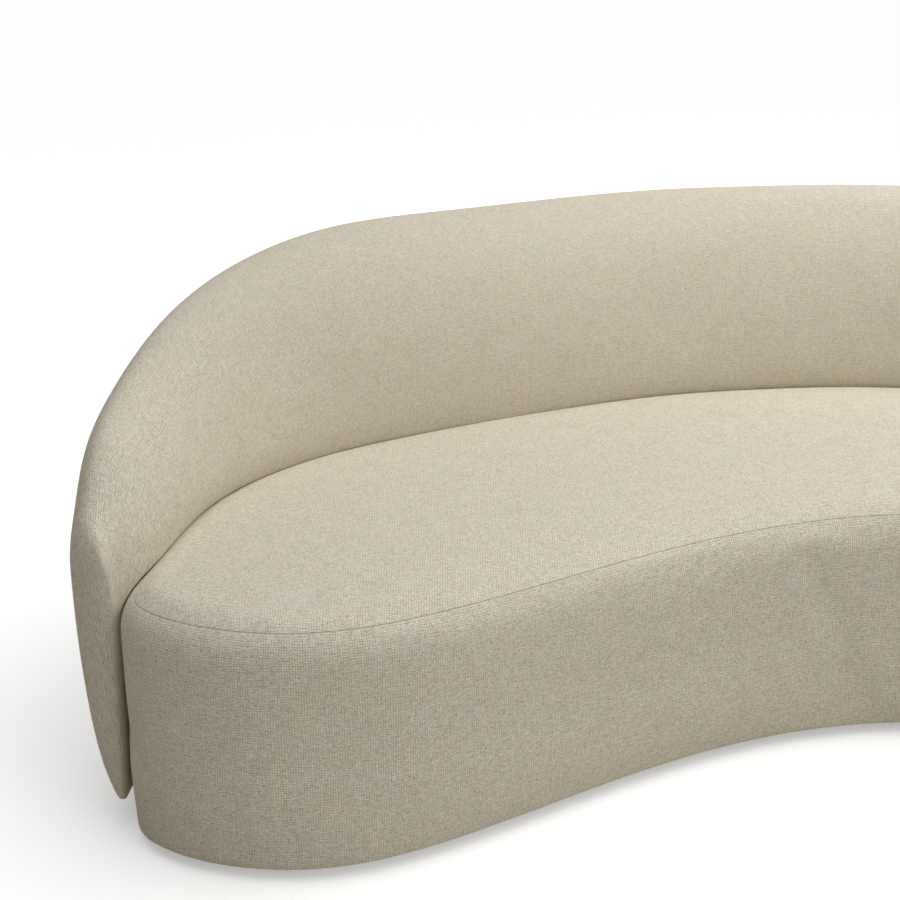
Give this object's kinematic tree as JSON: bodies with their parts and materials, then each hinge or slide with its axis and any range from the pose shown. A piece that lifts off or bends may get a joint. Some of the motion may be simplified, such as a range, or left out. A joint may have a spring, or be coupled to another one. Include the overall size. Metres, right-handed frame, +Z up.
{
  "type": "curved sofa",
  "caption": "Crescent-shaped upholstered sofa with a low rounded wrap-round back that runs down into both arms, a smooth seat and an upholstered base to the floor.",
  "frame": {"origin": "on the floor, under the middle of the whole sofa's box", "axes": "+X to the right seen from the front and along the sofa, +Y to the rear, +Z up"},
  "size_m": [2.6788, 1.3408, 0.768],
  "materials": {
    "linen": "matte",
    "foam": "matte",
    "plywood": "matte",
    "softwood": "matte",
    "elastic": "matte",
    "black_cloth": "matte",
    "black_plastic": "matte",
    "zinc_steel": "satin"
  },
  "bodies": {
    "root": {"floor_glide_1": "black_plastic", "floor_glide_2": "black_plastic", "floor_glide_3": "black_plastic", "floor_glide_4": "black_plastic", "floor_glide_5": "black_plastic", "floor_glide_6": "black_plastic", "floor_glide_7": "black_plastic", "floor_glide_8": "black_plastic", "dust_cover": "black_cloth", "bottom_board": "plywood", "seat_post_1": "softwood", "seat_post_2": "softwood", "seat_post_3": "softwood", "seat_post_4": "softwood", "seat_post_5": "softwood", "seat_post_6": "softwood", "seat_post_7": "softwood", "seat_post_8": "softwood", "front_side_skin": "plywood", "rear_side_skin": "plywood", "top_frame": "plywood", "cross_rail_1": "softwood", "cross_rail_2": "softwood", "cross_rail_3": "softwood", "webbing_1": "elastic", "webbing_2": "elastic", "webbing_3": "elastic", "webbing_4": "elastic", "webbing_5": "elastic", "webbing_6": "elastic", "webbing_7": "elastic", "webbing_8": "elastic", "webbing_9": "elastic", "seat_foam": "foam", "band_foam": "foam", "seat_cover": "linen", "band_cover": "linen", "back_board": "plywood", "back_inner_skin": "plywood", "back_rib_1": "plywood", "back_rib_2": "plywood", "back_rib_3": "plywood", "back_rib_4": "plywood", "back_rib_5": "plywood", "back_rib_6": "plywood", "back_rib_7": "plywood", "back_rib_8": "plywood", "back_top_rail": "plywood", "back_foam_inside": "foam", "back_foam_outside": "foam", "right_arm_foam": "foam", "left_arm_foam": "foam", "back_cover_inside": "linen", "back_cover_outside": "linen", "back_bolt_low_1": "zinc_steel", "back_bolt_high_1": "zinc_steel", "back_bolt_low_2": "zinc_steel", "back_bolt_high_2": "zinc_steel", "back_bolt_low_3": "zinc_steel", "back_bolt_high_3": "zinc_steel"}
  },
  "joints": []
}
